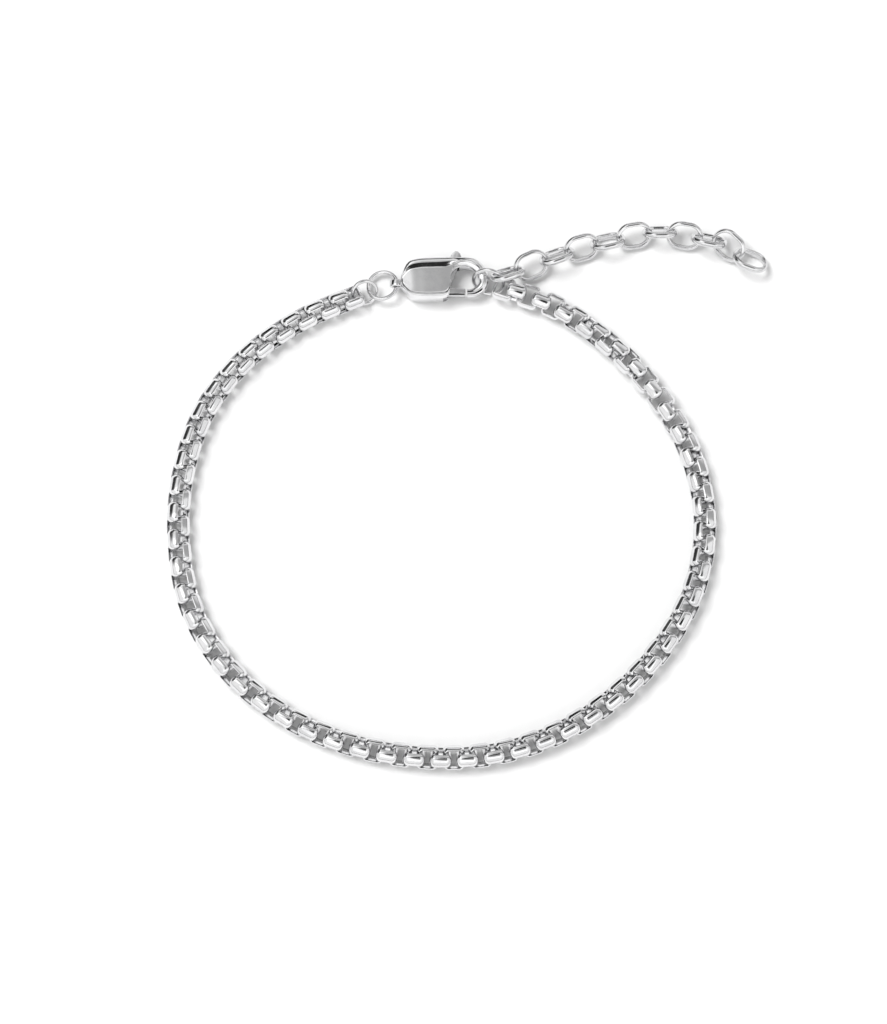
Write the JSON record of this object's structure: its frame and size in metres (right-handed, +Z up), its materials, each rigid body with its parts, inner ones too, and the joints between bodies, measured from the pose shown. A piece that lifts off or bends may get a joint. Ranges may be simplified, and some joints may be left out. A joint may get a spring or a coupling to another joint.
{
  "type": "chain bracelet",
  "caption": "Silver box chain bracelet lying in a closed loop, with a lobster clasp on a jump ring and an extender of oval links.",
  "frame": {"origin": "centre of the bounding box, on the surface that the bracelet lies on", "axes": "+X to the right along the clasp and the extender, from the clasp's eye to its hook; +Y from the middle of the loop towards the clasp; +Z up from the surface"},
  "size_m": [0.0677, 0.0621, 0.0036],
  "materials": {
    "chain_silver": "polished silver, a little rubbed on the links",
    "silver": "polished silver"
  },
  "bodies": {
    "bracelet": {"box_chain": "chain_silver", "clasp_body": "silver", "clasp_ring": "silver", "chain_ring": "silver", "hook_ring": "silver", "extender_link_01": "silver", "extender_link_02": "silver", "extender_link_03": "silver", "extender_link_04": "silver", "extender_link_05": "silver", "extender_link_06": "silver", "extender_link_07": "silver", "extender_link_08": "silver", "extender_link_09": "silver", "extender_link_10": "silver", "end_link": "silver"},
    "lever": {"clasp_lever": "silver"}
  },
  "joints": [
    {"name": "lever_hinge", "type": "hinge", "parent": "bracelet", "child": "lever", "pos_m": [-0.00316, 0.02295, 0.0015], "axis": [0, 0, 1], "range_deg": [0, 25], "stiffness_Nm_per_rad": 0.0002}
  ]
}
